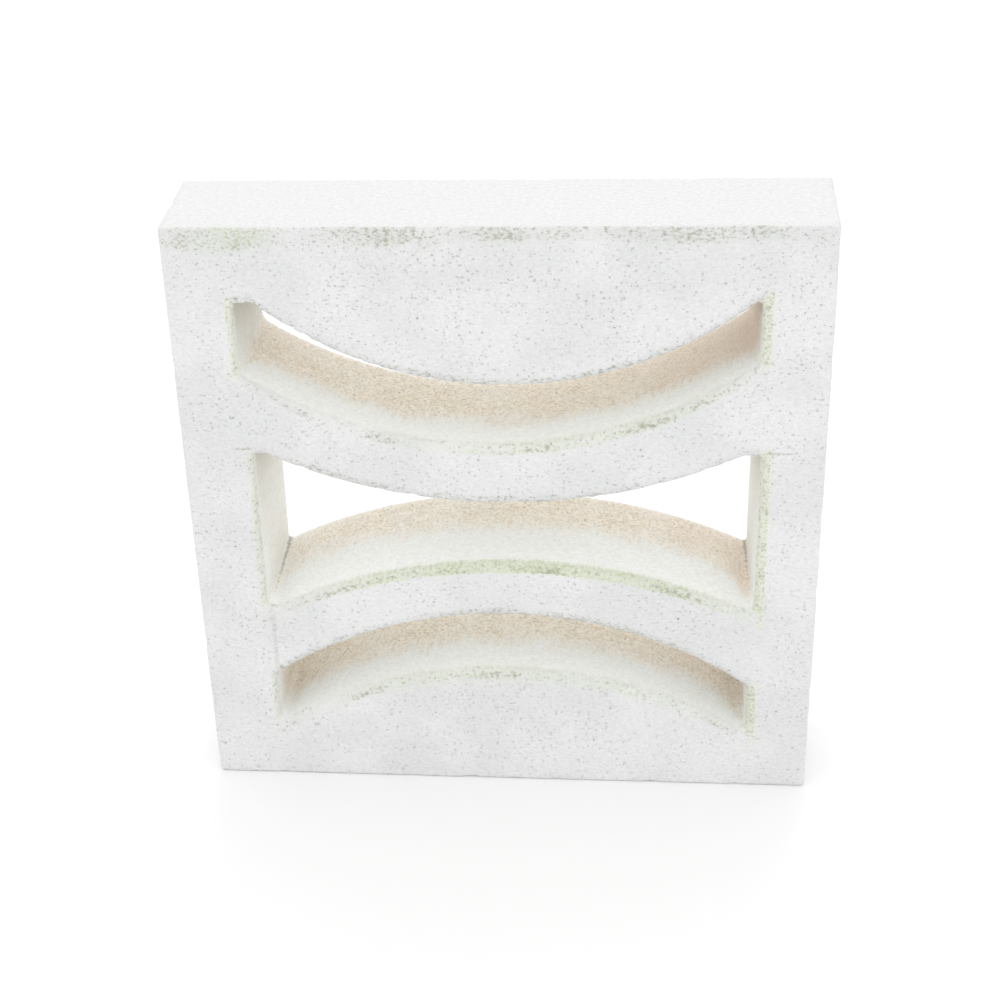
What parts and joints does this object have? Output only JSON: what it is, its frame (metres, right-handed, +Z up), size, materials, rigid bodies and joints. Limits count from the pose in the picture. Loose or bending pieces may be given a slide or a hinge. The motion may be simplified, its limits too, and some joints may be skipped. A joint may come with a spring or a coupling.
{
  "type": "screen block",
  "caption": "Square cast concrete screen block with arced slots right through its face, for pierced walls and fences.",
  "frame": {"origin": "middle of the underside, halfway through the thickness", "axes": "+Z up, +X to the right across the decorated face, -Y out of the decorated face"},
  "size_m": [0.4, 0.08, 0.4],
  "materials": {
    "concrete": "light grey cast concrete with fine open pores, tan and algae stained in the slots"
  },
  "bodies": {
    "root": {"screen_block": "concrete"}
  },
  "joints": []
}
